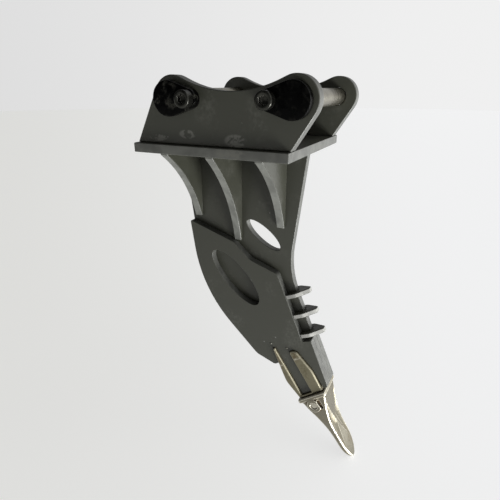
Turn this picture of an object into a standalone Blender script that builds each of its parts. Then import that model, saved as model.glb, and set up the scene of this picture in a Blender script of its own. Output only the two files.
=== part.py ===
"""A single-shank ripper attachment with a pinned tooth, at model-excavator size.

Frame: origin on the axis of the front (stick) pin, halfway between the ears. X points
forward, the way the tooth digs, Y to the left and Z up. Every length here is in
millimetres, and MM turns it into Blender's metres where an object is made.
"""

import math

import bmesh
import bpy
from mathutils import Matrix, Vector

MM = 0.001
GAP = 0.1  # clearance left between pieces that touch or are welded together
FACET_ERROR = 0.015  # how far a facet may run inside the arc that it stands for
SMALLEST_FACET = math.radians(4)
PIN_SIDES = 40
HOLE_SIDES = 28
SCREW_SIDES = 24

# Pins and ears
PIN_SPACING = 42.0
PIN_RADIUS = 3.0
PIN_STICKS_OUT = 0.8  # past the outer face of the left ear
EAR_OUTER = 24.75  # from the middle plane to the outer face of an ear
EAR_THICK = 4.0
EAR_HEIGHT = 14.5  # from the pin axes down to the base plate
EAR_REAR = -57.5
EAR_FRONT = -0.8
LOBE_RADIUS = 7.1
SADDLE_RISE = 2.3  # height of the saddle's lowest point over the pin axes
EAR_EDGE = 0.2

# Base plate
BASE_REAR = -57.9
BASE_FRONT = -0.6
BASE_HALF_WIDTH = 27.0
BASE_THICK = 3.2
BASE_EDGE = 0.3

# Shank and its cheeks, seen from the side
PLATE_THICK = 3.0
REAR_TOP = (-55.8, 0.5)  # x and corner radius, at the plate's top edge
FRONT_TOP = (-3.0, 0.5)
REAR_BEND = (-47.2, -79.0, 56.0)  # x, z and radius where each long edge bends
FRONT_BEND = (-8.5, -64.0, 37.0)
FRONT_LEAN = math.radians(23)  # the lower front edge, from the vertical
HEEL = (-20.6, -104.6, 5.0)
HEEL_TIP = (-12.0, -107.6, 1.6)
HORN_ALONG = 51.5  # from the front bend down to the horn's tip
HORN_RADIUS = 0.8
EYE = (-19.6, -50.8, 8.6, 3.06, math.radians(-35.7))  # the shank's through hole
WINDOW = (-30.6, -70.2, 14.3, 5.4, math.radians(-45.5))  # the opening in a cheek
CHEEK_TOP_REAR = -48.0  # height at which the cheek starts on the rear edge
CHEEK_TOP = ((-31.4, -54.5, 4.0), (-24.2, -61.0, 6.0), (-12.2, -65.0, 2.5))
CHEEK_SETBACK = 3.9  # of the cheek's upper front edge behind the shank's
CHEEK_STEP_ALONG = 29.7

# Gussets: forward face, and height of the lower end
GUSSETS = ((-46.9, -46.0), (-28.8, -54.0), (-10.6, -46.4))
GUSSET_THICK = 3.0
GUSSET_REACH = 23.0
GUSSET_TOE = 2.7  # half width where the gusset ends on the shank
GUSSET_HOLLOW = 0.085  # depth of its curved edge, as a share of the chord
GUSSET_SHOULDER = 1.0  # square edge left under the plate, before the curve starts

# Ribs across the front edge
RIB_FIRST = 9.8  # distance below the front bend of the first rib's middle
RIB_PITCH = 8.8
RIB_THICK = 1.9
RIB_OUT = 5.6
RIB_ROOT = 4.5  # half width beside the cheeks
RIB_TIP = 1.1  # half width at the tip

# Adapter and tooth, in the tooth's frame: u along it to the tip, v across to the front
TOOTH_ORIGIN = (4.74, -117.1)
TOOTH_LEAN = math.radians(38)
TONGUE_LEAN = math.radians(4.7)  # how much more upright the tongue is than the tooth
TONGUE_MIDDLE = -0.6  # v of its middle line, where it crosses u = TONGUE_MIDWAY
TONGUE_MIDWAY = -11.0
TONGUE_HALF = 2.45
TONGUE_END = -1.1
TONGUE_FOOT = (-4.6, 5.0)  # v of the tongue's rear and front corners at its end
TONGUE_REAR = (-17.8, -4.0)  # where its rear edge leaves the heel
STRAP_FOOT = -0.15
REAR_STRAP = ((STRAP_FOOT, -5.85, 0.0), (-9.2, -6.95, 10.0), (-24.8, -3.2, 0.7))
FRONT_STRAP = ((STRAP_FOOT, 6.2, 0.0), (-9.3, 7.45, 12.0), (-20.6, 5.9, 2.2))
STRAP_INNER_RADIUS = (0.4, 1.0)  # of the rear and front strap's inner top corner
ADAPTER_HALF_WIDTH = 5.6
ADAPTER_EDGE = 0.7
CROTCH_RADIUS = 0.2
STRAP_CLEARANCE = 0.25
SLOT_FOOT = 4.0  # u that the strap slots run out to, past the tongue
SLOT_DEPTH = 20.0  # across all three plates
NOSE_LENGTH = 11.0
NOSE_ROOT = (5.2, 5.1)  # half sizes across v and y at the socket's mouth
NOSE_TIP = (1.1, 3.6)
NOSE_OVERLAP = 0.5  # how far the nose starts inside the adapter's body
SOCKET_START = -1.0
SOCKET_GAP = 0.15

# Tooth sections: u, half width, back face v, front face v, depth of the scoops
RIM_SECTIONS = (
    (0.0, 6.35, -6.3, 6.9, 0.0),
    (0.4, 6.8, -6.7, 7.3, 0.0),
    (1.6, 6.8, -6.7, 7.3, 0.0),
    (2.1, 6.35, -5.5, 6.2, 0.0),
)
BLADE_SECTIONS = (
    (3.5, 6.35, -5.2, 5.6, 0.0),
    (5.0, 6.4, -4.9, 4.9, 0.2),
    (6.5, 6.4, -4.5, 4.15, 0.5),
    (8.0, 6.4, -4.05, 3.45, 0.6),
    (10.0, 6.35, -3.5, 2.65, 0.7),
    (12.0, 6.2, -3.15, 1.85, 0.9),
    (14.0, 6.0, -2.9, 1.15, 1.15),
    (16.0, 5.8, -2.75, 0.6, 1.2),
    (18.0, 5.6, -2.7, 0.2, 1.05),
    (20.0, 5.4, -2.75, -0.1, 0.9),
    (22.5, 5.3, -2.85, -0.35, 0.7),
    (25.0, 5.2, -3.05, -0.55, 0.45),
    (27.5, 4.95, -3.3, -0.8, 0.2),
    (29.5, 4.5, -3.5, -1.05, 0.0),
    (31.5, 3.75, -3.6, -1.35, 0.0),
    (33.2, 2.8, -3.6, -1.7, 0.0),
    (34.5, 1.85, -3.45, -2.05, 0.0),
    (35.2, 1.0, -3.2, -2.35, 0.0),
)
SCOOP_STEPS = 7  # faces across each scoop
TOOTH_EDGE = 0.45  # widest chamfer along the tooth's long edges
TOOTH_EDGE_SHARE = 0.3  # of a section's own size, where that is less
SCOOPS_MEET = 17.5  # where the two scoops meet, with no rib left between them
SCOOP_SPREAD = 13.5  # how far before and after it the rib takes the whole front again
RIB_LIMIT = 0.85  # widest that the rib gets while there is still a scoop, as a share
TOOTH_PIN_AT = (4.6, -0.9)
TOOTH_PIN_RADIUS = 1.4
TOOTH_PIN_HALF = 6.6
TOOTH_BORE_HALF = 9.0
BOSS_RADIUS = 3.0
BOSS_HALF_WIDTH = 6.9
PRY_SLOT = (2.9, 6.9, 1.45, 2.6)  # u and v limits of the slot beside the pin
PRY_SLOT_RADIUS = 0.3
PRY_SLOT_FLOOR = 5.5
PRY_SLOT_CUT = 2.0
RETAINER_RADIUS = 2.3
RETAINER_THICK = 0.9
RETAINER_OUTER = 4.3  # its outer face, from the middle plane

# Keeper flags and their screws
FLAG_THICK = 3.0
FLAG_BIG = 5.5
FLAG_SMALL = 3.1
FLAG_ARM = 7.4  # pin axis to screw axis
SCREW_RADIUS = 1.45
SCREW_LENGTH = 6.0
HEAD_RADIUS = 2.75
HEAD_HEIGHT = 3.0
HEX_ACROSS_FLATS = 2.5
HEX_DEPTH = 1.6
OVERSHOOT = 1.0  # how far a cutter or a joined shaft runs past the face it meets

PARTS = "ripper_attachment"
CUTTERS = "cutters"

PAINT = (0.036, 0.036, 0.031)
STEEL = (0.42, 0.38, 0.31)
BLACK = (0.006, 0.006, 0.006)


# ---------------------------------------------------------------- scene and materials
def clear_scene():
    for obj in list(bpy.data.objects):
        bpy.data.objects.remove(obj, do_unlink=True)
    for collection in list(bpy.data.collections):
        bpy.data.collections.remove(collection)
    for name in (PARTS, CUTTERS):
        collection = bpy.data.collections.new(name)
        bpy.context.scene.collection.children.link(collection)
    bpy.data.collections[CUTTERS].hide_render = True


def principled(name, colour, roughness, metallic):
    material = bpy.data.materials.new(name)
    material.use_nodes = True
    shader = material.node_tree.nodes["Principled BSDF"]
    shader.inputs["Base Color"].default_value = (*colour, 1)
    shader.inputs["Roughness"].default_value = roughness
    shader.inputs["Metallic"].default_value = metallic
    return material


def painted(name):
    return principled(name + "_paint", PAINT, 0.5, 0.3)


def bare_steel(name):
    return principled(name + "_steel", STEEL, 0.35, 0.95)


def gloss_black(name):
    return principled(name + "_black", BLACK, 0.18, 0.0)


# ---------------------------------------------------------------- outlines
def arc(centre, radius, start, end):
    """Points on an arc from angle start to angle end, both ends included."""
    step = max(SMALLEST_FACET, 2 * math.acos(1 - min(1, FACET_ERROR / radius)))
    steps = max(2, math.ceil(abs(end - start) / step))
    angles = [start + (end - start) * i / steps for i in range(steps + 1)]
    cx, cy = centre
    return [(cx + radius * math.cos(a), cy + radius * math.sin(a)) for a in angles]


def circle(centre, radius, sides):
    turns = [2 * math.pi * i / sides for i in range(sides)]
    cx, cy = centre
    return [(cx + radius * math.cos(t), cy + radius * math.sin(t)) for t in turns]


def ellipse(centre_x, centre_y, long_half, short_half, tilt, sides=44):
    turn = Matrix.Rotation(tilt, 2)
    points = []
    for x, y in circle((0, 0), 1, sides):
        offset = turn @ Vector((long_half * x, short_half * y))
        points.append((centre_x + offset.x, centre_y + offset.y))
    return points


def rounded(corners):
    """A closed outline through corners (x, y, radius), each one rounded by an arc."""
    points = []
    for i, (x, y, radius) in enumerate(corners):
        corner = Vector((x, y))
        if radius == 0:
            points.append((x, y))
            continue
        before = Vector(corners[i - 1][:2]) - corner
        after = Vector(corners[(i + 1) % len(corners)][:2]) - corner
        half = before.angle(after) / 2
        first = corner + before.normalized() * radius / math.tan(half)
        last = corner + after.normalized() * radius / math.tan(half)
        middle = (before.normalized() + after.normalized()).normalized()
        centre = corner + middle * radius / math.sin(half)
        start = math.atan2(*(first - centre).yx)
        end = math.atan2(*(last - centre).yx)
        turn = (end - start + math.pi) % (2 * math.pi) - math.pi
        points += arc(centre, radius, start, start + turn)
    return points


def tangent_angle(point, centre, radius, side):
    """Angle on a circle where a line from a point touches it, on side +1 or -1."""
    away = Vector(point) - Vector(centre)
    return math.atan2(away.y, away.x) + side * math.acos(radius / away.length)


# ---------------------------------------------------------------- objects
def link(obj, material, collection=PARTS):
    bpy.data.collections[collection].objects.link(obj)
    if material:
        obj.data.materials.append(material)
    return obj


def frame(x_axis, y_axis, origin=(0, 0, 0)):
    """A placing matrix from two axes and an origin in millimetres."""
    x_axis = Vector(x_axis)
    y_axis = Vector(y_axis)
    columns = (x_axis, y_axis, x_axis.cross(y_axis))
    rotation = Matrix(columns).transposed().to_4x4()
    return Matrix.Translation(Vector(origin) * MM) @ rotation


def side_plane(y):
    """Outlines in (x, z), with thickness across the attachment about this y."""
    return frame((1, 0, 0), (0, 0, 1), (0, y, 0))


def tooth_plane():
    u_axis = (math.sin(TOOTH_LEAN), 0, -math.cos(TOOTH_LEAN))
    v_axis = (math.cos(TOOTH_LEAN), 0, math.sin(TOOTH_LEAN))
    return frame(u_axis, v_axis, (TOOTH_ORIGIN[0], 0, TOOTH_ORIGIN[1]))


def flat_plate(name, outlines, thickness, place, material, edge=0.15, edge_steps=0):
    """A plate cut to closed outlines; the second and later ones are holes."""
    curve = bpy.data.curves.new(name, "CURVE")
    curve.dimensions = "2D"
    curve.fill_mode = "BOTH"
    curve.extrude = (thickness / 2 - edge) * MM
    curve.bevel_depth = edge * MM
    curve.bevel_resolution = edge_steps
    curve.offset = -edge * MM
    for outline in outlines:
        spline = curve.splines.new("POLY")
        spline.points.add(len(outline) - 1)
        spline.use_cyclic_u = True
        for point, (x, y) in zip(spline.points, outline):
            point.co = (x * MM, y * MM, 0, 1)
    obj = link(bpy.data.objects.new(name, curve), material)
    obj.matrix_world = place
    return obj


def as_mesh(obj):
    """The curve object turned into a welded mesh object of the same name and place."""
    name = obj.name
    place = obj.matrix_world.copy()
    graph = bpy.context.evaluated_depsgraph_get()
    mesh = bpy.data.meshes.new_from_object(obj.evaluated_get(graph))
    bpy.data.objects.remove(obj, do_unlink=True)
    shape = bmesh.new()
    shape.from_mesh(mesh)
    bmesh.ops.remove_doubles(shape, verts=shape.verts, dist=1e-6)
    bmesh.ops.recalc_face_normals(shape, faces=shape.faces)
    shape.to_mesh(mesh)
    shape.free()
    made = bpy.data.objects.new(name, mesh)
    bpy.data.collections[PARTS].objects.link(made)
    made.matrix_world = place
    return made


def mesh_object(name, shape, place, material=None, collection=PARTS):
    mesh = bpy.data.meshes.new(name)
    shape.to_mesh(mesh)
    shape.free()
    obj = link(bpy.data.objects.new(name, mesh), material, collection)
    obj.matrix_world = place
    return obj


def rod(name, radius, start, end, at, sides, material=None, collection=PARTS):
    """A cylinder along Y from start to end, on the axis through at = (x, z)."""
    shape = bmesh.new()
    bmesh.ops.create_cone(
        shape,
        cap_ends=True,
        segments=sides,
        radius1=radius * MM,
        radius2=radius * MM,
        depth=abs(end - start) * MM,
        matrix=Matrix.Rotation(math.pi / 2, 4, "X"),
    )
    place = Matrix.Translation(Vector((at[0], 0, at[1])) * MM)
    middle = Matrix.Translation((0, (start + end) / 2 * MM, 0))
    bmesh.ops.transform(shape, matrix=middle, verts=shape.verts)
    return mesh_object(name, shape, place, material, collection)


def hide_cutter(obj):
    obj.hide_render = True
    obj.display_type = "WIRE"
    return obj


def boolean(obj, other, operation):
    modifier = obj.modifiers.new(other.name, "BOOLEAN")
    modifier.operation = operation
    modifier.object = other
    modifier.solver = "EXACT"


def cut(obj, cutter):
    boolean(obj, hide_cutter(cutter), "DIFFERENCE")


def join(obj, other):
    boolean(obj, hide_cutter(other), "UNION")


def soften(obj, width, segments=1, angle=40):
    bevel = obj.modifiers.new("edges", "BEVEL")
    bevel.width = width * MM
    bevel.segments = segments
    bevel.limit_method = "ANGLE"
    bevel.angle_limit = math.radians(angle)


def shade_round(obj, angle=35):
    obj.data.shade_smooth()
    obj.data.set_sharp_from_angle(angle=math.radians(angle))


# ---------------------------------------------------------------- shared places
def pin_x(which):
    return 0.0 if which == "front" else -PIN_SPACING


def screw_x(which):
    """A screw sits beside its pin, towards the middle of the ear."""
    return -FLAG_ARM if which == "front" else FLAG_ARM - PIN_SPACING


def base_underside():
    return -EAR_HEIGHT - BASE_THICK - GAP


def front_edge(along, out=0.0):
    """A point (x, z) on the lower front edge, below its bend and out from the metal."""
    x, z, _ = FRONT_BEND
    sine, cosine = math.sin(FRONT_LEAN), math.cos(FRONT_LEAN)
    return (x + along * sine + out * cosine, z - along * cosine + out * sine)


def tooth_point(u, v):
    """(x, z) of a point in the tooth's frame."""
    sine, cosine = math.sin(TOOTH_LEAN), math.cos(TOOTH_LEAN)
    x = TOOTH_ORIGIN[0] + u * sine + v * cosine
    z = TOOTH_ORIGIN[1] - u * cosine + v * sine
    return (x, z)


def tongue_edge(u, side):
    """v of the tongue's rear (-1) or front (+1) edge at this u."""
    middle = TONGUE_MIDDLE - (u - TONGUE_MIDWAY) * math.tan(TONGUE_LEAN)
    return middle + side * TONGUE_HALF / math.cos(TONGUE_LEAN)


# ---------------------------------------------------------------- ears and base plate
def ear_outline():
    rear, front = (-PIN_SPACING, 0.0), (0.0, 0.0)
    low_rear = (EAR_REAR, GAP - EAR_HEIGHT)
    low_front = (EAR_FRONT, GAP - EAR_HEIGHT)
    half = PIN_SPACING / 2
    rise = LOBE_RADIUS - SADDLE_RISE
    saddle = (half**2 + SADDLE_RISE**2 - LOBE_RADIUS**2) / (2 * rise)
    saddle_centre = (-half, SADDLE_RISE + saddle)
    meet = math.atan2(saddle_centre[1], half)
    rear_touch = tangent_angle(low_rear, rear, LOBE_RADIUS, -1) % (2 * math.pi)
    front_touch = tangent_angle(low_front, front, LOBE_RADIUS, 1)
    outline = [low_rear]
    outline += arc(rear, LOBE_RADIUS, rear_touch, meet)
    outline += arc(saddle_centre, saddle, math.pi + meet, 2 * math.pi - meet)[1:-1]
    outline += arc(front, LOBE_RADIUS, math.pi - meet, front_touch)
    outline.append(low_front)
    return outline


def screw_hole(which):
    return circle((screw_x(which), 0), SCREW_RADIUS + GAP, SCREW_SIDES)


def build_ears():
    middle = EAR_OUTER - EAR_THICK / 2
    for name, side in (("ear_right", -1), ("ear_left", 1)):
        outlines = [ear_outline()]
        for which in ("rear", "front"):
            outlines.append(circle((pin_x(which), 0), PIN_RADIUS + GAP, PIN_SIDES))
            if side < 0:
                outlines.append(screw_hole(which))
        place = side_plane(side * middle)
        flat_plate(name, outlines, EAR_THICK, place, painted(name), EAR_EDGE)


def build_base_plate():
    size = Vector((BASE_FRONT - BASE_REAR, 2 * BASE_HALF_WIDTH, BASE_THICK))
    shape = bmesh.new()
    bmesh.ops.create_cube(shape, size=1, matrix=Matrix.Diagonal((*(size * MM), 1)))
    middle = Vector(((BASE_FRONT + BASE_REAR) / 2, 0, -EAR_HEIGHT - BASE_THICK / 2))
    place = Matrix.Translation(middle * MM)
    plate = mesh_object("base_plate", shape, place, painted("base_plate"))
    soften(plate, BASE_EDGE, 2)


# ---------------------------------------------------------------- shank and cheeks
def lower_corners():
    """The outline below the front bend, round the horn and tongue to the rear bend."""
    rear, front = TONGUE_FOOT
    return [
        (*front_edge(HORN_ALONG), HORN_RADIUS),
        (*tooth_point(TONGUE_END, front), 0),
        (*tooth_point(TONGUE_END, rear), 0),
        (*tooth_point(*TONGUE_REAR), 0),
        HEEL_TIP,
        HEEL,
        REAR_BEND,
    ]


def strap_corners(side, grow=0.0):
    """One adapter strap in (u, v), rear (-1) or front (+1); grow makes it larger."""
    foot, shoulder, top = REAR_STRAP if side < 0 else FRONT_STRAP
    inner_radius = STRAP_INNER_RADIUS[side > 0]
    top_u = top[0] - grow
    return [
        (foot[0], foot[1] + side * grow, foot[2]),
        (shoulder[0], shoulder[1] + side * grow, shoulder[2]),
        (top_u, top[1] + side * grow, top[2] + grow),
        (top_u, tongue_edge(top_u, side) + side * GAP, inner_radius),
    ]


def strap_slot(name, side):
    """A cutter for the slot that one strap lies in; the tongue keeps its full width."""
    foot, shoulder, outer, inner = strap_corners(side, STRAP_CLEARANCE)
    corners = [
        (SLOT_FOOT, foot[1], 0),
        shoulder,
        outer,
        (inner[0], tongue_edge(inner[0], side), STRAP_INNER_RADIUS[0]),
        (SLOT_FOOT, tongue_edge(SLOT_FOOT, side), 0),
    ]
    cutter = flat_plate(name, [rounded(corners)], SLOT_DEPTH, tooth_plane(), None, 0)
    return move_to_cutters(as_mesh(cutter))


def move_to_cutters(obj):
    bpy.data.collections[PARTS].objects.unlink(obj)
    bpy.data.collections[CUTTERS].objects.link(obj)
    return hide_cutter(obj)


def shank_outline():
    top = base_underside()
    return rounded(
        [(REAR_TOP[0], top, REAR_TOP[1]), (FRONT_TOP[0], top, FRONT_TOP[1]), FRONT_BEND]
        + lower_corners()
    )


def rear_edge_x(z):
    """x of the straight upper rear edge at this height."""
    top = base_underside()
    x, low, _ = REAR_BEND
    return REAR_TOP[0] + (x - REAR_TOP[0]) * (z - top) / (low - top)


def cheek_outline():
    start = (rear_edge_x(CHEEK_TOP_REAR), CHEEK_TOP_REAR, 0.5)
    set_back = (*front_edge(CHEEK_STEP_ALONG, -CHEEK_SETBACK), 1.0)
    step = (*front_edge(CHEEK_STEP_ALONG), 0.5)
    return rounded([start, *CHEEK_TOP, set_back, step] + lower_corners())


def build_shank_and_cheeks():
    slots = [strap_slot("rear_strap_slot", -1), strap_slot("front_strap_slot", 1)]
    apart = PLATE_THICK + GAP
    layers = (
        ("shank", shank_outline(), ellipse(*EYE), 0),
        ("cheek_right", cheek_outline(), ellipse(*WINDOW), -apart),
        ("cheek_left", cheek_outline(), ellipse(*WINDOW), apart),
    )
    for name, outline, hole, y in layers:
        plate = flat_plate(name, [outline, hole], PLATE_THICK, side_plane(y), painted(name))
        plate = as_mesh(plate)
        for slot in slots:
            cut(plate, slot)


# ---------------------------------------------------------------- gussets and ribs
def gusset_outline(low):
    """Seen from the front, on the left side: (distance from the middle plane, z)."""
    inner = PLATE_THICK / 2 + GAP
    top = base_underside()
    first = Vector((GUSSET_REACH, top - GUSSET_SHOULDER))
    last = Vector((GUSSET_TOE, low))
    chord = last - first
    depth = GUSSET_HOLLOW * chord.length
    radius = (chord.length**2 / 4 + depth**2) / (2 * depth)
    outward = Vector((-chord.y, chord.x)).normalized()
    centre = (first + last) / 2 + outward * (radius - depth)
    start = math.atan2(*(first - centre).yx)
    end = math.atan2(*(last - centre).yx)
    turn = (end - start + math.pi) % (2 * math.pi) - math.pi
    curve = arc(centre, radius, start, start + turn)
    return [(inner, top), (GUSSET_REACH, top), *curve, (inner, low)]


def build_gussets():
    for number, (front, low) in enumerate(GUSSETS, 1):
        outline = gusset_outline(low)
        origin = (front - GUSSET_THICK / 2, 0, 0)
        for hand, side in (("right", -1), ("left", 1)):
            name = f"gusset_{hand}_{number}"
            placed = frame((0, 1, 0), (0, 0, 1), origin)
            points = [(side * across, z) for across, z in outline]
            flat_plate(name, [points], GUSSET_THICK, placed, painted(name))


def rib_outline():
    """In (out from the front edge, y): a tapered nose with two arms round the shank."""
    root = GAP - CHEEK_SETBACK
    inner = PLATE_THICK / 2 + GAP
    half = [
        (root, inner, 0),
        (root, RIB_ROOT, 0.3),
        (GAP, RIB_ROOT - 0.2, 2.0),
        (RIB_OUT, RIB_TIP, 0.8),
    ]
    other = [(out, -y, radius) for out, y, radius in reversed(half)]
    return rounded([(GAP, inner, 0)] + half + other + [(GAP, -inner, 0)])


def build_ribs():
    outward = (math.cos(FRONT_LEAN), 0, math.sin(FRONT_LEAN))
    for number in range(1, 4):
        name = f"shin_rib_{number}"
        x, z = front_edge(RIB_FIRST + RIB_PITCH * (number - 1))
        placed = frame(outward, (0, 1, 0), (x, 0, z))
        flat_plate(name, [rib_outline()], RIB_THICK, placed, painted(name), 0.25)


# ---------------------------------------------------------------- adapter and tooth
def nose(name, grow):
    """The tapered block inside the tooth; grown, it cuts the tooth's socket."""
    start = STRAP_FOOT - NOSE_OVERLAP if grow == 0 else SOCKET_START
    end = NOSE_LENGTH + grow
    shape = bmesh.new()
    bmesh.ops.create_cube(shape, size=2)
    for vert in shape.verts:
        along = start if vert.co.x < 0 else end
        share = along / NOSE_LENGTH
        half_v = NOSE_ROOT[0] + (NOSE_TIP[0] - NOSE_ROOT[0]) * share + grow
        half_y = NOSE_ROOT[1] + (NOSE_TIP[1] - NOSE_ROOT[1]) * share + grow
        vert.co = Vector((along, vert.co.y * half_v, vert.co.z * half_y)) * MM
    return mesh_object(name, shape, tooth_plane(), None, CUTTERS)


def tooth_pin_cutter(name, radius, start, end):
    """A round hole on the tooth pin's axis, one clearance wider than what it takes."""
    at = tooth_point(*TOOTH_PIN_AT)
    return rod(name, radius + GAP, start, end, at, HOLE_SIDES, None, CUTTERS)


def build_adapter():
    rear = strap_corners(-1)
    front = strap_corners(1)
    crotch = TONGUE_END + GAP
    corners = rear + [(crotch, tongue_edge(crotch, -1) - GAP, CROTCH_RADIUS)]
    corners += [(crotch, tongue_edge(crotch, 1) + GAP, CROTCH_RADIUS)] + front[::-1]
    outline = rounded(corners)
    width = 2 * ADAPTER_HALF_WIDTH
    steel = bare_steel("adapter")
    body = flat_plate("adapter", [outline], width, tooth_plane(), steel, ADAPTER_EDGE, 2)
    body = as_mesh(body)
    join(body, nose("adapter_nose", 0.0))
    half = TOOTH_BORE_HALF
    cut(body, tooth_pin_cutter("nose_bore", TOOTH_PIN_RADIUS, -half, half))
    seat = RETAINER_OUTER - RETAINER_THICK - GAP
    cut(body, tooth_pin_cutter("retainer_seat", RETAINER_RADIUS, seat, half))


def scoop(u):
    """One side's scoop, from the rib out: (share of the half width, share of the depth)."""
    rib = min(abs(u - SCOOPS_MEET) / SCOOP_SPREAD, RIB_LIMIT)
    for step in range(SCOOP_STEPS + 1):
        across = step / SCOOP_STEPS
        yield rib + (1 - rib) * across, math.sin(math.pi * across)


def tooth_section(u, half, back, front, depth):
    """One closed section of the tooth as (u, v, y) points."""
    corner = min(TOOTH_EDGE, TOOTH_EDGE_SHARE * min(front - back, half))
    flat = half - corner
    points = [(back + corner, half), (back, flat), (back, -flat), (back + corner, -half)]
    points.append((front - corner, -half))
    scooped = [(share * flat, front - depth * sunk) for share, sunk in scoop(u)]
    points.extend((v, -y) for y, v in reversed(scooped))
    points.extend((v, y) for y, v in scooped)
    points.append((front - corner, half))
    return [Vector((u, v, y)) * MM for v, y in points]


def tooth_body():
    shape = bmesh.new()
    loops = []
    for section in RIM_SECTIONS + BLADE_SECTIONS:
        loops.append([shape.verts.new(point) for point in tooth_section(*section)])
    for first, second in zip(loops, loops[1:]):
        for i in range(len(first)):
            shape.faces.new((first[i - 1], first[i], second[i], second[i - 1]))
    shape.faces.new(loops[0])
    shape.faces.new(loops[-1][::-1])
    bmesh.ops.recalc_face_normals(shape, faces=shape.faces)
    return shape


def pry_slot(name, side):
    u_low, u_high, v_low, v_high = PRY_SLOT
    corners = ((u_low, v_low), (u_high, v_low), (u_high, v_high), (u_low, v_high))
    outline = rounded([(u, v, PRY_SLOT_RADIUS) for u, v in corners])
    middle = side * (PRY_SLOT_FLOOR + PRY_SLOT_CUT / 2) * MM
    place = tooth_plane() @ Matrix.Translation((0, 0, middle))
    cutter = flat_plate(name, [outline], PRY_SLOT_CUT, place, None, 0)
    return move_to_cutters(as_mesh(cutter))


def build_tooth():
    tooth = mesh_object("tooth", tooth_body(), tooth_plane(), bare_steel("tooth"))
    at = tooth_point(*TOOTH_PIN_AT)
    half = BOSS_HALF_WIDTH
    join(tooth, rod("pin_boss", BOSS_RADIUS, -half, half, at, PIN_SIDES, None, CUTTERS))
    cut(tooth, nose("socket", SOCKET_GAP))
    half = TOOTH_BORE_HALF
    cut(tooth, tooth_pin_cutter("tooth_bore", TOOTH_PIN_RADIUS, -half, half))
    cut(tooth, pry_slot("pry_slot_right", 1))
    cut(tooth, pry_slot("pry_slot_left", -1))
    shade_round(tooth)


def build_tooth_pin():
    at = tooth_point(*TOOTH_PIN_AT)
    half = TOOTH_PIN_HALF
    steel = bare_steel("tooth_pin")
    pin = rod("tooth_pin", TOOTH_PIN_RADIUS, -half, half, at, HOLE_SIDES, steel)
    soften(pin, 0.25, 2)
    shade_round(pin)


def build_retainer():
    name = "tooth_pin_retainer"
    at = tooth_point(*TOOTH_PIN_AT)
    outlines = [circle(at, r, HOLE_SIDES) for r in (RETAINER_RADIUS, TOOTH_PIN_RADIUS + GAP)]
    place = side_plane(RETAINER_OUTER - RETAINER_THICK / 2)
    flat_plate(name, outlines, RETAINER_THICK, place, gloss_black(name), 0.1)


# ---------------------------------------------------------------- hanger pins and keepers
def flag_outline(which):
    """A teardrop: two circles and their tangents, the small one towards the middle."""
    lean = math.acos((FLAG_BIG - FLAG_SMALL) / FLAG_ARM)
    big, small = (pin_x(which), 0), (screw_x(which), 0)
    if which == "rear":
        outline = arc(big, FLAG_BIG, lean, 2 * math.pi - lean)
        return outline + arc(small, FLAG_SMALL, -lean, lean)
    outline = arc(big, FLAG_BIG, lean - math.pi, math.pi - lean)
    return outline + arc(small, FLAG_SMALL, math.pi - lean, math.pi + lean)


def build_hanger_pin(which):
    name = f"{which}_pin"
    at = (pin_x(which), 0)
    end = EAR_OUTER + PIN_STICKS_OUT
    pin = rod(name, PIN_RADIUS, -EAR_OUTER, end, at, PIN_SIDES, bare_steel(name))
    soften(pin, 0.4, 2)
    shade_round(pin)


def build_flag(which):
    name = f"{which}_pin_flag"
    outlines = [flag_outline(which), screw_hole(which)]
    place = side_plane(-EAR_OUTER - GAP - FLAG_THICK / 2)
    flat_plate(name, outlines, FLAG_THICK, place, gloss_black(name), 0.35, 1)


def build_screw(which):
    name = f"{which}_keeper_screw"
    at = (screw_x(which), 0)
    seat = -EAR_OUTER - 2 * GAP - FLAG_THICK
    top = seat - HEAD_HEIGHT
    head = rod(name, HEAD_RADIUS, top, seat, at, HOLE_SIDES, gloss_black(name))
    soften(head, 0.3, 2)
    start, end = seat - OVERSHOOT, seat + SCREW_LENGTH
    shaft = rod(name + "_shaft", SCREW_RADIUS, start, end, at, SCREW_SIDES, None, CUTTERS)
    join(head, shaft)
    corner = HEX_ACROSS_FLATS / math.sqrt(3)
    start, end = top - OVERSHOOT, top + HEX_DEPTH
    cut(head, rod(name + "_hex", corner, start, end, at, 6, None, CUTTERS))
    shade_round(head)


def main():
    clear_scene()
    build_ears()
    build_base_plate()
    build_shank_and_cheeks()
    build_gussets()
    build_ribs()
    build_adapter()
    build_tooth()
    build_tooth_pin()
    build_retainer()
    for which in ("rear", "front"):
        build_hanger_pin(which)
        build_flag(which)
        build_screw(which)


main()
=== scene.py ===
"""Looks for the ripper attachment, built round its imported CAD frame.

The plates, pins and keepers keep their CAD meshes, with softened shading. The cast pieces
(tooth, adapter) and the screws are remade here with finer surfaces in the same places.
Lengths named here are in millimetres, except for the camera, the floor and the lights,
which are in metres, as in the frame.
"""

import math

import bmesh
import bpy
from mathutils import Matrix, Vector, noise


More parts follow.
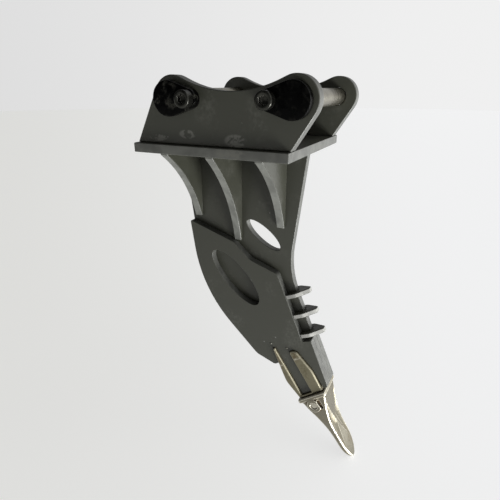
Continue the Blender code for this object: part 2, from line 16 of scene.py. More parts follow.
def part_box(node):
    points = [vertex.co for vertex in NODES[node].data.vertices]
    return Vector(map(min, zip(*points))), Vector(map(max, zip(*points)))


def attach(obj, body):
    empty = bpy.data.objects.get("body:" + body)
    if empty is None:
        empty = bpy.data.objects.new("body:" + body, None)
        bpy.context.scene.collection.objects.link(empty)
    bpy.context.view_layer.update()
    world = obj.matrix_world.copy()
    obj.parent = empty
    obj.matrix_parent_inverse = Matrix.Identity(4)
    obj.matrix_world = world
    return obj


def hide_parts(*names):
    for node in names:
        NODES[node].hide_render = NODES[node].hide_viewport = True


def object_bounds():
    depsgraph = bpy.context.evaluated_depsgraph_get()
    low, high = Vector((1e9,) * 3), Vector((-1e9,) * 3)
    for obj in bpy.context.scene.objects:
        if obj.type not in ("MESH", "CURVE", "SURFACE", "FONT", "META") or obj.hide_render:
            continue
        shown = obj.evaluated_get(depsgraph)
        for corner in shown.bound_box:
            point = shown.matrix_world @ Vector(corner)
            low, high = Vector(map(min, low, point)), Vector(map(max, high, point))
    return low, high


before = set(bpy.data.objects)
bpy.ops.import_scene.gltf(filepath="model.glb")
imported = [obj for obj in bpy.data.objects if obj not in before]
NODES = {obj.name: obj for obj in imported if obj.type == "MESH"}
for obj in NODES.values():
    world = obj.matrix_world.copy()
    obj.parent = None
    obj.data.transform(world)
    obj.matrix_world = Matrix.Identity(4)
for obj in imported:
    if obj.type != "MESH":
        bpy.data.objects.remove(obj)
CAD_LOW, CAD_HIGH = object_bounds()
MM = 0.001

# Camera, in metres
CAMERA_AT = Vector((0.04236, -0.1413, 0.00395))
CAMERA_AZIMUTH = math.radians(25.885)
CAMERA_ELEVATION = math.radians(21.784)
CAMERA_LENS = 29.72
SENSOR = 36.0
VIEW_RIGHT = (math.cos(CAMERA_AZIMUTH), math.sin(CAMERA_AZIMUTH), 0)

# Stage, in metres
FLOOR_RADIUS = 3.0
FLOOR_SIDES = 96
FLOOR_GAP = 0.0002
# the floor's painted glow changes from left to right over this reach
FLOOR_FADE = 0.25  # how far from the middle the paper's shades come in
SOFTBOXES = (  # name, place from the object's middle, width, and power in watts
    ("low_softbox", (0.36, -0.12, -0.22), 0.20, 4.2),
    ("rear_softbox", (0.34, 0.30, 0.0), 0.34, 0.8),
)
WINDOW_POWER = 0.4
WINDOW_ANGLE = math.radians(60)
WINDOW_TOWARDS = (-0.7, 0.1, -0.6)
ROOM_BRIGHT_SIDE = (0.70, 0.45, -0.55)
ROOM_SHADES = (0.11, 1.0)  # dark and bright side, as the object sees the room
WALL_SHADES = (0.70, 0.87)  # left and right, as the camera sees the room

# Plates
GUSSETS = [f"gusset_{hand}_{i}" for hand in ("left", "right") for i in (1, 2, 3)]
RIBS = [f"shin_rib_{i}" for i in (1, 2, 3)]
SMOOTH_ANGLE = math.radians(38)
RIB_LEAN = math.radians(23)

# The tooth's own frame, as in the CAD: u along it to the tip
TOOTH_LEAN = math.radians(38)
TOOTH_AXIS = Vector((math.sin(TOOTH_LEAN), 0, -math.cos(TOOTH_LEAN)))
TOOTH_FRONT = Vector((math.cos(TOOTH_LEAN), 0, math.sin(TOOTH_LEAN)))
TOOTH_START = Vector((4.74, 0, -117.1)) * MM

# Cast pieces
CAST_VOXEL = 0.16
CAST_SMOOTHING = 5
CAST_GRAIN = 0.012  # height of the cast skin's unevenness
CAST_GRAIN_SCALE = 1.1  # humps in a millimetre
CREST = "crest"  # the attribute that holds how far each point stands proud
CREST_SMOOTHING = 40
HEAT_FADE = (-14, -19)  # where along the tooth's axis the straps turn brown
RUBBED_AT = -16.8  # the middle of the straps' bright band
RUBBED_WOBBLE = 0.8
RUBBED_HALF = (0.5, 0.15)  # from the band's middle to its edge and to its full strength

# Weld spatter on a cheek: along the tooth's axis, to its front, and radius
SPATTER = ((-26.9, -2.7, 0.5), (-25.6, -3.9, 0.3), (-22.4, 2.6, 0.42))
SPATTER_UNEVEN = 0.3  # share of its radius that a bead swells or shrinks by
SPATTER_FLAT = 0.5  # its height, as a share of its radius

# Screws
SCREW_TURN = 96  # points round a ring
SCREW_SHARP = math.radians(40)
KNURLS = 32
KNURL_DEPTH = 0.07
HEAD_HEIGHT = 3.0
HEX_APOTHEM = 1.25
HEX_DEPTH = 1.9
HEX_LEAD = 1.32  # radius of the socket's chamfered mouth, as a share of its apothem
THREAD_PITCH = 0.5
THREAD_DEPTH = 0.27
THREAD_STEPS = 8  # rings in one pitch
SHAFT_RADIUS = 1.45

# Pale smears, left by handling: x, z, half length and half height on a plate's right side
SMEARS = {
    "ear_right": ((-19.3, -12.3, 4.4, 2.3), (-37, -11, 3.6, 1.6), (-49, -12.6, 4.2, 1.3)),
    "shank": ((-32.5, -29, 1.7, 4),),
    "base_plate": ((-20, -16, 6, 2),),
}
SMEAR_REACH = 1.5

KEEPER_DUST_SHARE = {"front": 0.12, "rear": 0.85}
BEVEL_SAMPLES = 6

# Colours, as linear light
PAINT = (0.030, 0.031, 0.0225)
PAINT_DUST = (0.115, 0.115, 0.10)
CUT_EDGE = (0.10, 0.102, 0.092)
# Gusset and rib edge greys: partly bare cut metal, partly a painted highlight where light from
# below and the right falls on those edges
GUSSET_EDGE_AND_HIGHLIGHT = (0.17, 0.174, 0.158)
RIB_EDGE_AND_HIGHLIGHT = (0.30, 0.30, 0.28)
WORN = (0.20, 0.205, 0.19)
CAST_STEEL = (0.175, 0.16, 0.108)
CAST_STAIN = (0.10, 0.088, 0.053)
# crest colour of the adapter: part rubbed steel, part a painted highlight
CAST_RUBBED_AND_HIGHLIGHT = (0.30, 0.28, 0.205)
TOOTH_STEEL = (0.18, 0.168, 0.130)
TOOTH_STAIN = (0.13, 0.108, 0.068)
SPATTER_STEEL = (0.16, 0.16, 0.14)
# brown: heat stain on the straps, and painted shade in the castings' hollows
STEEL_STAIN_AND_SHADE = (0.10, 0.07, 0.04)
# pale steel of the tooth pin and rubbed band; on the tooth's crests partly a painted highlight
STEEL_BRIGHT = (0.52, 0.495, 0.415)
PIN_STEEL = (0.25, 0.235, 0.185)
PIN_SHADE = (0.15, 0.135, 0.10)
KEEPER = (0.0006, 0.0006, 0.0006)
KEEPER_DUST = (0.035, 0.034, 0.028)
SCREW = (0.036, 0.036, 0.031)
SCREW_SHADE = (0.016, 0.016, 0.014)
# screw edges: rubbed steel and a painted highlight
SCREW_RUBBED_AND_HIGHLIGHT = (0.42, 0.41, 0.36)
PAPER = (0.42, 0.42, 0.415)
PAPER_LEFT = (1.0, 1.0, 0.965)
PAPER_RIGHT = (0.985, 0.99, 1.0)


# ---------------------------------------------------------------- node helpers
class Shader:
    """A material's node tree, with one short call for each kind of node."""

    def __init__(self, name):
        self.material = bpy.data.materials.new(name)
        self.material.use_nodes = True
        self.tree = self.material.node_tree
        self.bsdf = self.tree.nodes["Principled BSDF"]

    def node(self, kind, inputs=(), **settings):
        made = self.tree.nodes.new(kind)
        for key, value in settings.items():
            setattr(made, key, value)
        for key, value in dict(inputs).items():
            self.feed(made.inputs[key], value)
        return made

    def feed(self, socket, value):
        if isinstance(value, bpy.types.NodeSocket):
            self.tree.links.new(value, socket)
        elif isinstance(value, tuple) and socket.type == "RGBA":
            socket.default_value = (*value, 1)
        else:
            socket.default_value = value

    def place(self):
        return self.node("ShaderNodeTexCoord").outputs["Object"]

    def stretched(self, scale):
        made = self.node("ShaderNodeMapping", {"Vector": self.place()})
        made.inputs["Scale"].default_value = scale
        return made.outputs["Vector"]

    def noise(self, scale, detail, roughness, distortion=0.0, vector=None):
        inputs = {
            "Vector": vector or self.place(),
            "Scale": scale,
            "Detail": detail,
            "Roughness": roughness,
            "Distortion": distortion,
        }
        return self.node("ShaderNodeTexNoise", inputs).outputs["Fac"]

    def ramp(self, value, low, high, out_low=0.0, out_high=1.0):
        """value mapped from low..high to out_low..out_high, with soft ends."""
        inputs = {"Value": value, 1: low, 2: high, 3: out_low, 4: out_high}
        made = self.node("ShaderNodeMapRange", inputs, interpolation_type="SMOOTHSTEP")
        return made.outputs["Result"]

    def math(self, operation, first, second=0.0):
        made = self.node("ShaderNodeMath", {0: first, 1: second}, operation=operation)
        return made.outputs[0]

    def mix(self, share, first, second):
        made = self.node("ShaderNodeMix", data_type="RGBA")
        self.feed(made.inputs["Factor"], share)
        self.feed(made.inputs[6], first)
        self.feed(made.inputs[7], second)
        return made.outputs[2]

    def vector(self, operation, first, *second):
        """The node's vector for ADD, SUBTRACT and the like, or its number for the others."""
        inputs = dict(enumerate((first, *second)))
        made = self.node("ShaderNodeVectorMath", inputs, operation=operation)
        return made.outputs["Value" if operation in ("LENGTH", "DOT_PRODUCT") else "Vector"]

    def along_tooth(self):
        """Metres along the tooth from its socket's mouth, less than 0 up the adapter."""
        away = self.vector("SUBTRACT", self.place(), TOOTH_START)
        return self.vector("DOT_PRODUCT", away, TOOTH_AXIS)

    def apart(self, value, level):
        """How far value is from this level."""
        return self.math("ABSOLUTE", self.math("SUBTRACT", value, level))

    def across(self, axis):
        """1 where the surface faces along this axis, either way, and 0 on its edges."""
        normal = self.node("ShaderNodeTexCoord").outputs["Normal"]
        return self.apart(self.vector("DOT_PRODUCT", normal, axis), 0)

    def worn_edge(self, radius, sharpness=0.25):
        """1 on outer and inner edges, found by how far a rounded normal leans away."""
        normal = self.node("ShaderNodeNewGeometry").outputs["Normal"]
        lean = self.vector("DOT_PRODUCT", self.rounded(radius), normal)
        return self.ramp(lean, 1.0, 1.0 - sharpness)

    def crest(self, low, high):
        """1 where a casting stands this many millimetres proud of itself smoothed out."""
        made = self.node("ShaderNodeAttribute", attribute_name=CREST)
        return self.ramp(made.outputs["Fac"], low, high)

    def patch(self, centre, size):
        """1 inside an ellipsoid here, in metres, fading to 0 outside it."""
        away = self.vector("SUBTRACT", self.place(), centre)
        distance = self.vector("LENGTH", self.vector("DIVIDE", away, size))
        return self.ramp(distance, 1.0, 0.7)

    def bump(self, height, strength, distance, under=None):
        inputs = {"Height": height, "Strength": strength, "Distance": distance}
        if under is not None:
            inputs["Normal"] = under
        return self.node("ShaderNodeBump", inputs).outputs["Normal"]

    def rounded(self, radius):
        """A normal that rounds edges over by this radius."""
        bevel = self.node("ShaderNodeBevel", {"Radius": radius}, samples=BEVEL_SAMPLES)
        return bevel.outputs["Normal"]

    def finish(self, **values):
        """The material, with these values or sockets fed to its surface."""
        for key, value in values.items():
            name = key.replace("_", " ").title().replace("Ior", "IOR")
            self.feed(self.bsdf.inputs[name], value)
        return self.material


# ---------------------------------------------------------------- materials
def plate_paint(name, axis, edges=CUT_EDGE, smears=()):
    """Dark satin paint on a plate's broad faces, worn to a paler grey on its cut edges; a paler
    edge colour given here adds a painted highlight on them.
    """
    s = Shader(name)
    clouds = s.noise(90, 4, 0.6, 0.3)
    fine = s.noise(900, 3, 0.6)
    speck = s.noise(2600, 2, 0.5)
    dust = s.math("MULTIPLY", s.ramp(clouds, 0.52, 0.72), s.ramp(fine, 0.35, 0.7))
    colour = s.mix(s.math("MULTIPLY", dust, 0.3), PAINT, PAINT_DUST)
    flecks = s.ramp(s.noise(620, 1, 0.4), 0.79, 0.82)
    colour = s.mix(s.math("MULTIPLY", flecks, 0.7), colour, WORN)
    streaks = s.noise(220, 2, 0.5)
    dull = tuple(0.7 * channel for channel in edges)
    edge_tone = s.mix(s.ramp(streaks, 0.35, 0.7), edges, dull)
    # cut edges take the edge colour, which on gussets and ribs is partly a painted highlight
    cut = s.ramp(s.across(axis), 0.75, 0.45)
    colour = s.mix(cut, colour, edge_tone)
    torn = s.noise(500, 4, 0.6, 0.8)
    for centre, size in smears:
        smear = s.math("MULTIPLY", s.patch(centre, size), s.ramp(torn, 0.40, 0.52))
        colour = s.mix(s.math("MULTIPLY", smear, 0.75), colour, PAINT_DUST)
    wear = s.math("MULTIPLY", s.worn_edge(0.22 * MM), s.ramp(fine, 0.40, 0.62))
    colour = s.mix(s.math("MULTIPLY", wear, 0.6), colour, WORN)
    rough = s.ramp(clouds, 0.3, 0.7, 0.40, 0.54)
    height = s.math("ADD", s.math("MULTIPLY", fine, 0.6), s.math("MULTIPLY", speck, 0.4))
    normal = s.bump(height, 0.22, 0.03 * MM, s.rounded(0.15 * MM))
    metal = s.math("MULTIPLY", cut, 0.4)
    return s.finish(base_color=colour, roughness=rough, metallic=metal, normal=normal)


def heat_tint(s, colour, grain, clouds):
    """Browned, with one rubbed band, where the straps were welded to the cheeks."""
    along = s.along_tooth()
    start, end = HEAT_FADE
    heat = s.math("MULTIPLY", s.ramp(along, start * MM, end * MM), s.ramp(grain, 0.38, 0.6))
    colour = s.mix(s.math("MULTIPLY", heat, 0.7), colour, STEEL_STAIN_AND_SHADE)
    sway = RUBBED_WOBBLE * MM
    wobble = s.math("ADD", along, s.ramp(clouds, 0.0, 1.0, -sway, sway))
    edge, full = RUBBED_HALF
    band = s.ramp(s.apart(wobble, RUBBED_AT * MM), edge * MM, full * MM)
    band = s.math("MULTIPLY", band, s.ramp(grain, 0.40, 0.55))
    return s.mix(s.math("MULTIPLY", band, 0.6), colour, STEEL_BRIGHT)


def cast_steel(name, colours, roughness, welded=False):
    """Bare cast steel, warm grey and mottled; its crests paler, part rubbed and part a painted
    highlight, and its hollows darkened brown as painted shade.
    """
    s = Shader(name)
    base, stain, bright = colours
    clouds = s.noise(150, 4, 0.6, 0.4)
    grain = s.noise(1100, 5, 0.65)
    pits = s.noise(3800, 2, 0.5)
    mottle = s.math("MULTIPLY", s.ramp(clouds, 0.45, 0.65), s.ramp(grain, 0.38, 0.62))
    colour = s.mix(s.math("MULTIPLY", mottle, 0.7), base, stain)
    # painted shade: hollows darkened towards brown
    colour = s.mix(s.crest(-0.015, -0.07), colour, STEEL_STAIN_AND_SHADE)
    if welded:
        colour = heat_tint(s, colour, grain, clouds)
    # paler crests: part rubbed wear, part a painted highlight
    crest = s.math("MULTIPLY", s.crest(0.02, 0.06), s.ramp(grain, 0.2, 0.45, 0.6, 1.0))
    colour = s.mix(crest, colour, bright)
    rough = s.ramp(clouds, 0.3, 0.7, *roughness)
    height = s.math("ADD", s.math("MULTIPLY", grain, 0.6), s.math("MULTIPLY", pits, 0.4))
    normal = s.bump(height, 0.4, 0.05 * MM)
    return s.finish(base_color=colour, roughness=rough, metallic=0.9, normal=normal)


def turned_steel(name, bright, shade):
    """A ground pin: fine rings round its axis, and rubbed, slightly greasy patches."""
    s = Shader(name)
    rings = s.noise(1.0, 3, 0.6, 0.0, s.stretched((60, 5200, 60)))
    clouds = s.noise(160, 3, 0.6)
    colour = s.mix(s.ramp(clouds, 0.45, 0.7, 0.0, 0.6), bright, shade)
    rough = s.ramp(rings, 0.3, 0.7, 0.20, 0.36)
    normal = s.bump(rings, 0.2, 0.02 * MM, s.rounded(0.2 * MM))
    return s.finish(base_color=colour, roughness=rough, metallic=1.0, normal=normal)


def keeper_black(name, dust_share):
    """Oil-blackened plate, near black, with dust lying in soft blotches."""
    s = Shader(name)
    clouds = s.noise(330, 3, 0.5, 0.6)
    fine = s.noise(2400, 3, 0.6)
    dust = s.math("MULTIPLY", s.ramp(clouds, 0.52, 0.66), s.ramp(fine, 0.32, 0.6))
    colour = s.mix(s.math("MULTIPLY", dust, dust_share), KEEPER, KEEPER_DUST)
    rough = s.ramp(clouds, 0.4, 0.65, 0.12, 0.45)
    normal = s.bump(fine, 0.04, 0.02 * MM, s.rounded(0.25 * MM))
    return s.finish(
        base_color=colour, roughness=rough, specular_ior_level=0.05, normal=normal
    )


def screw_black(name):
    """Blackened screw steel, oily, paler on its edges: rubbed where a key touches, and a painted
    highlight.
    """
    s = Shader(name)
    clouds = s.noise(600, 3, 0.6)
    fine = s.noise(2600, 3, 0.6)
    colour = s.mix(s.ramp(clouds, 0.4, 0.7), SCREW, SCREW_SHADE)
    # painted highlight on the edges, together with rubbed wear
    wear = s.math("MULTIPLY", s.worn_edge(0.2 * MM, 0.15), s.ramp(fine, 0.3, 0.5, 0.5, 1.0))
    colour = s.mix(wear, colour, SCREW_RUBBED_AND_HIGHLIGHT)
    rough = s.ramp(fine, 0.3, 0.7, 0.24, 0.36)
    normal = s.bump(fine, 0.06, 0.02 * MM)
    return s.finish(base_color=colour, roughness=rough, metallic=0.9, normal=normal)


def floor_paper():
    """Pale paper that glows faintly, the glow a painted light that grows towards the right of
    the view, so the paper is a little darker towards the left.
    """
    s = Shader("floor_paper")
    place = s.place()
    away = s.vector("LENGTH", place)
    side = s.vector("DOT_PRODUCT", place, VIEW_RIGHT)
    side = s.math("DIVIDE", side, s.math("ADD", away, FLOOR_FADE))
    # painted light: the glow grows from left to right
    glow = s.ramp(side, -0.7, 0.4, 0.53, 0.715)
    tint = s.mix(s.ramp(side, -0.7, 0.4), PAPER_LEFT, PAPER_RIGHT)
    return s.finish(
        base_color=PAPER,
        roughness=0.9,
        specular_ior_level=0.05,
        emission_color=tint,
        emission_strength=glow,
    )


# ---------------------------------------------------------------- CAD nodes as shown
def smooth_by_angle():
    """A geometry group that keeps edges sharper than SMOOTH_ANGLE and smooths the rest."""
    group = bpy.data.node_groups.new("smooth_by_angle", "GeometryNodeTree")
    group.interface.new_socket("Geometry", in_out="INPUT", socket_type="NodeSocketGeometry")
    group.interface.new_socket("Geometry", in_out="OUTPUT", socket_type="NodeSocketGeometry")
    start = group.nodes.new("NodeGroupInput")
    end = group.nodes.new("NodeGroupOutput")
    angle = group.nodes.new("GeometryNodeInputMeshEdgeAngle")
    flat = group.nodes.new("FunctionNodeCompare")
    flat.operation = "LESS_EQUAL"
    flat.inputs[1].default_value = SMOOTH_ANGLE
    faces = group.nodes.new("GeometryNodeSetShadeSmooth")
    faces.domain = "FACE"
    edges = group.nodes.new("GeometryNodeSetShadeSmooth")
    edges.domain = "EDGE"
    link = group.links.new
    link(start.outputs[0], faces.inputs["Geometry"])
    link(faces.outputs[0], edges.inputs["Geometry"])
    link(angle.outputs["Unsigned Angle"], flat.inputs[0])
    link(flat.outputs[0], edges.inputs["Shade Smooth"])
    link(edges.outputs[0], end.inputs[0])
    return group


SMOOTH_GROUP = smooth_by_angle()


def soften_shading(obj):
    """Joins the split corners of an imported mesh and smooths its rounded stretches."""
    old = obj.data.attributes.get("custom_normal")
    if old:
        obj.data.attributes.remove(old)
    weld = obj.modifiers.new("weld", "WELD")
    weld.merge_threshold = 1e-6
    smooth = obj.modifiers.new("smooth", "NODES")
    smooth.node_group = SMOOTH_GROUP
    weighted = obj.modifiers.new("weighted", "WEIGHTED_NORMAL")
    weighted.keep_sharp = True


def dress(obj, material):
    obj.data.materials.clear()
    obj.data.materials.append(material)
    for face in obj.data.polygons:
        face.material_index = 0


def dress_plates():
    rib_axis = (math.sin(RIB_LEAN), 0, -math.cos(RIB_LEAN))
    upright = plate_paint("paint_upright", (0, 1, 0))
    groups = (
        (("cheek_left", "cheek_right", "ear_left"), upright),
        (("ear_right",), plate_paint("paint_ear", (0, 1, 0), smears=smears_on("ear_right"))),
        (("shank",), plate_paint("paint_shank", (0, 1, 0), smears=smears_on("shank"))),
        (("base_plate",), plate_paint("paint_level", (0, 0, 1), smears=smears_on("base_plate"))),
        # gussets and ribs get paler cut edges, partly a painted highlight
        (GUSSETS, plate_paint("paint_crosswise_and_highlight", (1, 0, 0), GUSSET_EDGE_AND_HIGHLIGHT)),
        (RIBS, plate_paint("paint_ribs_and_highlight", rib_axis, RIB_EDGE_AND_HIGHLIGHT)),
    )
    for names, material in groups:
        for name in names:
            dress(NODES[name], material)
            soften_shading(NODES[name])


def smears_on(node):
    """Centre and half size, in metres, of each pale smear on this plate's right side."""
    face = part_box(node)[0].y
    for x, z, half_x, half_z in SMEARS[node]:
        centre = (x * MM, face, z * MM)
        yield centre, (half_x * MM, SMEAR_REACH * MM, half_z * MM)


def dress_metal():
    ground = turned_steel("ground_steel", PIN_STEEL, PIN_SHADE)
    rubbed = turned_steel("rubbed_steel", STEEL_BRIGHT, TOOTH_STEEL)
    for name, steel in (("front_pin", ground), ("rear_pin", ground), ("tooth_pin", rubbed)):
        dress(NODES[name], steel)
        soften_shading(NODES[name])
    for which, share in KEEPER_DUST_SHARE.items():
        name = f"{which}_pin_flag"
        dress(NODES[name], keeper_black(name + "_black", share))
        soften_shading(NODES[name])
    retainer = NODES["tooth_pin_retainer"]
    dress(retainer, screw_black("retainer_black"))
    soften_shading(retainer)


# ---------------------------------------------------------------- pieces remade here
def new_piece(name, mesh, material, body, slot, *stands_for):
    """An object that rides a body, wears this material and stands for these CAD nodes; its slot
    argument is not used.
    """
    obj = bpy.data.objects.new(name, mesh)
    bpy.context.scene.collection.objects.link(obj)
    mesh.materials.clear()
    mesh.materials.append(material)
    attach(obj, body)
    if stands_for:
        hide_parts(*stands_for)


def evaluated(obj):
    """A copy of the object's mesh with its modifiers applied."""
    graph = bpy.context.evaluated_depsgraph_get()
    return bpy.data.meshes.new_from_object(obj.evaluated_get(graph))


def cast_skin(node):
    """The node's solid remade as a casting: edges rounded over and an uneven skin."""
    shape = bmesh.new()
    shape.from_mesh(NODES[node].data)
    bmesh.ops.remove_doubles(shape, verts=shape.verts, dist=1e-6)
    bmesh.ops.transform(shape, matrix=Matrix.Scale(1 / MM, 4), verts=shape.verts)
    coarse = bpy.data.meshes.new(node + "_coarse")
    shape.to_mesh(coarse)
    shape.free()
    helper = bpy.data.objects.new(node + "_coarse", coarse)
    bpy.context.scene.collection.objects.link(helper)
    remesh = helper.modifiers.new("remesh", "REMESH")
    remesh.mode = "VOXEL"
    remesh.voxel_size = CAST_VOXEL
    smooth = helper.modifiers.new("smooth", "SMOOTH")
    smooth.iterations = CAST_SMOOTHING
    mesh = evaluated(helper)
    smooth.iterations = CREST_SMOOTHING
    worn_down = evaluated(helper)
    bpy.data.objects.remove(helper)
    normals = [vert.normal.copy() for vert in mesh.vertices]
    crest = mesh.attributes.new(CREST, "FLOAT", "POINT")
    for i, (vert, normal) in enumerate(zip(mesh.vertices, normals)):
        crest.data[i].value = (vert.co - worn_down.vertices[i].co).dot(normal)
        swell = noise.fractal(vert.co * CAST_GRAIN_SCALE, 1.0, 2.0, 3) * CAST_GRAIN
        vert.co = (vert.co + normal * swell) * MM
    bpy.data.meshes.remove(worn_down)
    mesh.shade_smooth()
    return mesh


def build_castings():
    castings = (
        ("adapter", (CAST_STEEL, CAST_STAIN, CAST_RUBBED_AND_HIGHLIGHT), (0.42, 0.58), True),
        ("tooth", (TOOTH_STEEL, TOOTH_STAIN, STEEL_BRIGHT), (0.38, 0.50), False),
    )
    for node, colours, roughness, welded in castings:
        steel = cast_steel(node + "_steel", colours, roughness, welded)
        new_piece("cast_" + node, cast_skin(node), steel, "root", "bare_steel", node)


def build_spatter():
    """Small beads that the strap welds left on each cheek, above the tops of the straps."""
    colours = (SPATTER_STEEL, CAST_STAIN, SPATTER_STEEL)
    steel = cast_steel("spatter_steel", colours, (0.35, 0.5))
    for side in ("right", "left"):
        lowest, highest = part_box(f"cheek_{side}")
        face = lowest.y if side == "right" else highest.y
        shape = bmesh.new()
        for u, v, radius in SPATTER:
            middle = TOOTH_START + (TOOTH_AXIS * u + TOOTH_FRONT * v) * MM
            middle.y = face
            made = bmesh.ops.create_icosphere(shape, subdivisions=3, radius=1)
            for vert in made["verts"]:
                swell = 1 + SPATTER_UNEVEN * noise.noise(vert.co * 1.7 + middle / MM)
                flat = Vector((vert.co.x, vert.co.y * SPATTER_FLAT, vert.co.z))
                vert.co = middle + flat * swell * radius * MM
        mesh = bpy.data.meshes.new(f"weld_spatter_{side}")
        shape.to_mesh(mesh)
        shape.free()
        mesh.shade_smooth()
        new_piece(mesh.name, mesh, steel, "root", "bare_steel")


def turned_mesh(name, rings, centre):
    """A closed mesh of rings about an axis along Y; a ring is (y, radius at an angle)."""
    shape = bmesh.new()
    turns = [2 * math.pi * i / SCREW_TURN for i in range(SCREW_TURN)]
    loops = []
    for y, radius in rings:
        loop = []
        for turn in turns:
            r = radius(y, turn)
            point = Vector((r * math.cos(turn), y, r * math.sin(turn)))
            loop.append(shape.verts.new(centre + point * MM))
        loops.append(loop)
    for first, second in zip(loops, loops[1:]):
        for i in range(SCREW_TURN):
            shape.faces.new((first[i - 1], first[i], second[i], second[i - 1]))
    for loop, y in ((loops[0], rings[0][0]), (loops[-1], rings[-1][0])):
        middle = shape.verts.new(centre + Vector((0, y, 0)) * MM)
        for i in range(SCREW_TURN):
            shape.faces.new((loop[i], loop[i - 1], middle))
    bmesh.ops.recalc_face_normals(shape, faces=shape.faces)
    mesh = bpy.data.meshes.new(name)
    shape.to_mesh(mesh)
    shape.free()
    mesh.shade_smooth()
    mesh.set_sharp_from_angle(angle=SCREW_SHARP)
    return mesh


def plain(radius):
    """A round ring."""
    return lambda y, turn: radius


def knurled(radius):
    """A ring with KNURLS shallow grooves."""

    def at(y, turn):
        wave = abs((turn * KNURLS / (2 * math.pi)) % 1 - 0.5) * 2
        return radius - KNURL_DEPTH * (1 - wave)

    return at


def hexagonal(apothem):
    """A ring with six flats this far from the axis."""

    def at(y, turn):
        return apothem / math.cos((turn + math.pi / 6) % (math.pi / 3) - math.pi / 6)

    return at


def threaded(radius):
    """A ring across a right-hand thread whose crests have this radius."""

    def at(y, turn):
        wave = abs((y / THREAD_PITCH - turn / (2 * math.pi)) % 1 - 0.5) * 2
        return radius - THREAD_DEPTH * wave

    return at


def screw_rings(length, head):
    """From the hex socket's floor over the head and down the shaft, y from the head's top."""
    seat = HEAD_HEIGHT
    rings = [
        (HEX_DEPTH, plain(0.5)),
        (HEX_DEPTH - 0.25, hexagonal(HEX_APOTHEM)),
        (0.35, hexagonal(HEX_APOTHEM)),
        (0.05, plain(HEX_APOTHEM * HEX_LEAD)),
        (0, plain(HEX_APOTHEM * HEX_LEAD + 0.1)),
        (0, plain(head - 0.5)),
        (0.1, plain(head - 0.22)),
        (0.3, plain(head - 0.04)),
        (0.42, plain(head - 0.02)),
        (0.5, knurled(head)),
        (seat - 0.35, knurled(head)),
        (seat - 0.28, plain(head - 0.03)),
        (seat - 0.02, plain(head - 0.12)),
        (seat, plain(head - 0.3)),
        (seat, plain(SHAFT_RADIUS - 0.05)),
        (seat + 0.2, plain(SHAFT_RADIUS - THREAD_DEPTH)),
    ]
    start = seat + 0.3
    steps = int((length - 0.4 - start) / THREAD_PITCH * THREAD_STEPS)
    for i in range(steps + 1):
        rings.append((start + i * THREAD_PITCH / THREAD_STEPS, threaded(SHAFT_RADIUS)))
    rings.append((length - 0.3, plain(SHAFT_RADIUS - THREAD_DEPTH)))
    rings.append((length, plain(SHAFT_RADIUS - THREAD_DEPTH - 0.2)))
    return rings


def build_screws():
    """Both keeper screws, as wide and as long as their CAD nodes."""
    material = screw_black("screw_black")
    for which in ("front", "rear"):
        node = f"{which}_keeper_screw"
        lowest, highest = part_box(node)
        centre = Vector(((lowest.x + highest.x) / 2, lowest.y, (lowest.z + highest.z) / 2))
        head = (highest.x - lowest.x) / 2 / MM
        rings = screw_rings((highest.y - lowest.y) / MM, head)
        name = f"{which}_socket_screw"
        mesh = turned_mesh(name, rings, centre)
        new_piece(name, mesh, material, f"{which}_screw", "screw_steel", node)


# ---------------------------------------------------------------- stage
def build_floor():
    shape = bmesh.new()
    bmesh.ops.create_circle(shape, cap_ends=True, segments=FLOOR_SIDES, radius=FLOOR_RADIUS)
    mesh = bpy.data.meshes.new("floor")
    shape.to_mesh(mesh)
    shape.free()
    floor = bpy.data.objects.new("floor", mesh)
    bpy.context.scene.collection.objects.link(floor)
    floor.location = (0, 0, CAD_LOW.z - FLOOR_GAP)
    floor.data.materials.append(floor_paper())
    return floor


def new_light(name, kind, power, towards):
    """A light that shines in this direction."""
    data = bpy.data.lights.new(name, kind)
    data.energy = power
    light = bpy.data.objects.new(name, data)
    bpy.context.scene.collection.objects.link(light)
    light.rotation_mode = "QUATERNION"
    light.rotation_quaternion = Vector(towards).to_track_quat("-Z", "Y")
    return light


def pass_by(light, obj):
    """Keeps this light off this object, which casts no shadow from it either."""
    linked = bpy.data.collections.new(light.name + "_lights")
    linked.objects.link(obj)
    linked.collection_objects[0].light_linking.link_state = "EXCLUDE"
    light.light_linking.receiver_collection = linked
    light.light_linking.blocker_collection = linked


def build_lights(floor):
    middle = (CAD_LOW + CAD_HIGH) / 2
    for name, offset, size, power in SOFTBOXES:
        softbox = new_light(name, "AREA", power, -Vector(offset))
        softbox.data.shape = "DISK"
        softbox.data.size = size
        softbox.location = middle + Vector(offset)
        softbox.visible_camera = False
        pass_by(softbox, floor)
    window = new_light("window", "SUN", WINDOW_POWER, WINDOW_TOWARDS)
    window.data.angle = WINDOW_ANGLE


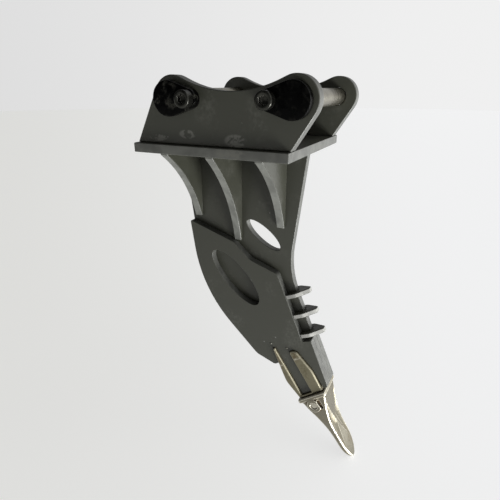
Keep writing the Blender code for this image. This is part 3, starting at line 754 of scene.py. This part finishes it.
def fade(tree, axis, low, high, shades):
    """A shade that goes from one to the other, from low to high along this axis."""
    place = tree.nodes.new("ShaderNodeTexCoord").outputs["Generated"]
    dot = tree.nodes.new("ShaderNodeVectorMath")
    dot.operation = "DOT_PRODUCT"
    dot.inputs[1].default_value = Vector(axis).normalized()
    tree.links.new(place, dot.inputs[0])
    ramp = tree.nodes.new("ShaderNodeMapRange")
    ramp.interpolation_type = "SMOOTHSTEP"
    for i, value in enumerate((low, high, *shades), 1):
        ramp.inputs[i].default_value = value
    tree.links.new(dot.outputs["Value"], ramp.inputs[0])
    return ramp.outputs[0]


def build_world():
    """A pale room, darker overhead and in front, where a photographer stands."""
    world = bpy.data.worlds.new("studio")
    bpy.context.scene.world = world
    world.use_nodes = True
    tree = world.node_tree
    tint = tree.nodes.new("ShaderNodeMix")
    seen = tree.nodes.new("ShaderNodeLightPath").outputs["Is Camera Ray"]
    tree.links.new(seen, tint.inputs["Factor"])
    room = fade(tree, ROOM_BRIGHT_SIDE, -0.7, 0.8, ROOM_SHADES)
    tree.links.new(room, tint.inputs["A"])
    wall = fade(tree, VIEW_RIGHT, -0.9, 0.5, WALL_SHADES)
    tree.links.new(wall, tint.inputs["B"])
    tree.links.new(tint.outputs["Result"], tree.nodes["Background"].inputs["Color"])


def build_camera():
    data = bpy.data.cameras.new("camera")
    data.lens = CAMERA_LENS
    data.sensor_width = SENSOR
    data.clip_start = 1 * MM
    camera = bpy.data.objects.new("camera", data)
    bpy.context.scene.collection.objects.link(camera)
    level = math.cos(CAMERA_ELEVATION)
    ahead = Vector(
        (
            -math.sin(CAMERA_AZIMUTH) * level,
            math.cos(CAMERA_AZIMUTH) * level,
            -math.sin(CAMERA_ELEVATION),
        )
    )
    camera.location = CAMERA_AT
    camera.rotation_mode = "QUATERNION"
    camera.rotation_quaternion = ahead.to_track_quat("-Z", "Y")
    bpy.context.scene.camera = camera


def build_stage():
    build_camera()
    build_world()
    build_lights(build_floor())
    bpy.context.scene.view_settings.view_transform = "Standard"


build_stage()
dress_plates()
dress_metal()
build_castings()
build_spatter()
build_screws()
